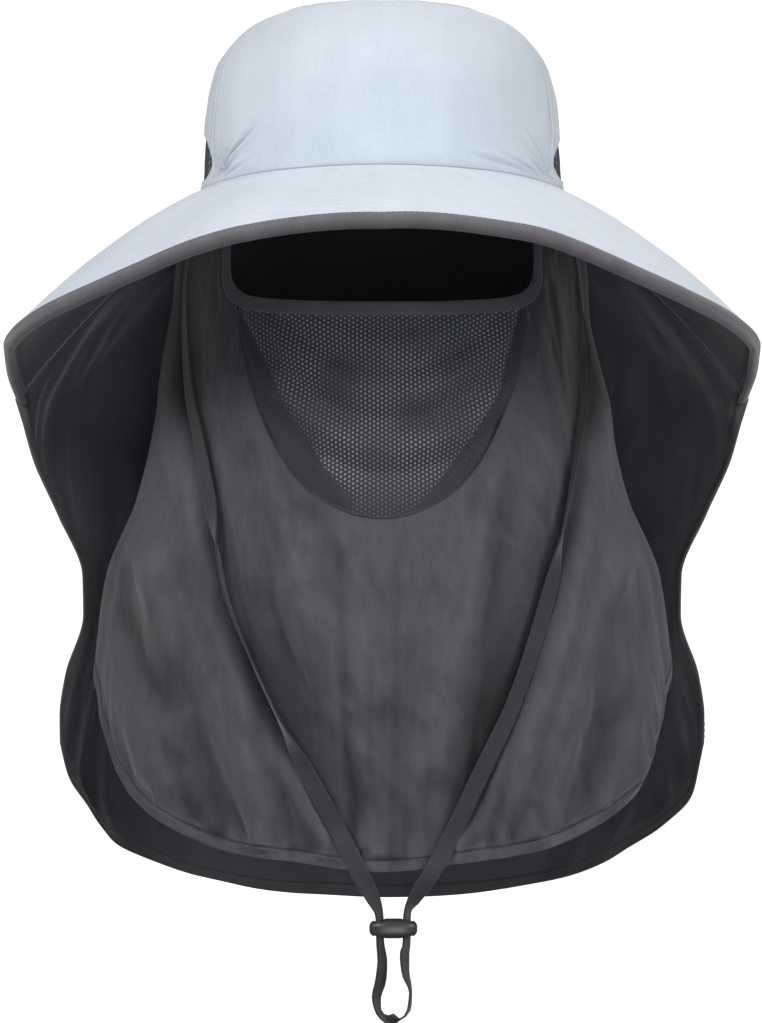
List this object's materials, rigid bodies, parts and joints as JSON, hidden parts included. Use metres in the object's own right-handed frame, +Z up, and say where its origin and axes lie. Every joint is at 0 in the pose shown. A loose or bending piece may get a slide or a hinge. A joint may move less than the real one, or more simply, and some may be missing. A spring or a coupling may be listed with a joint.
{
  "type": "fishing hat with neck flap and face cover",
  "caption": "Soft sun hat with a domed crown, a wide drooping brim, a long neck flap, a hanging face cover with a mesh window and eye opening, and a looped chin strap with a cord lock.",
  "frame": {"origin": "middle of the head opening at the crown's base, level with the brim's seam at the wearer's sides, where the head carries the hat", "axes": "+Z up through the crown, -Y the way the wearer looks, +X towards the wearer's left; the hat mirrors left to right about the YZ plane, with small differences in its folds and strap"},
  "size_m": [0.3768, 0.3603, 0.4875],
  "materials": {
    "crown_nylon": "matte light nylon, pale ice blue",
    "brim_nylon": "matte light nylon, pale ice blue, stitched",
    "charcoal_nylon": "matte light nylon, charcoal",
    "cover_nylon": "thin crinkled nylon, charcoal",
    "binding_tape": "folded binding tape, dark grey",
    "dark_mesh": "fine knitted mesh, black",
    "strap_webbing": "flat soft ribbon, black",
    "lock_plastic": "satin moulded plastic, black"
  },
  "bodies": {
    "root": {"crown_top": "crown_nylon", "crown_front": "crown_nylon", "crown_back": "crown_nylon", "vent_left": "dark_mesh", "vent_right": "dark_mesh", "brim_top": "brim_nylon", "brim_underside": "charcoal_nylon", "brim_binding": "binding_tape", "neck_flap": "charcoal_nylon", "face_cover": "cover_nylon", "window_mesh": "dark_mesh", "eye_trim": "binding_tape", "chin_strap": "strap_webbing", "cord_lock": "lock_plastic"}
  },
  "joints": []
}
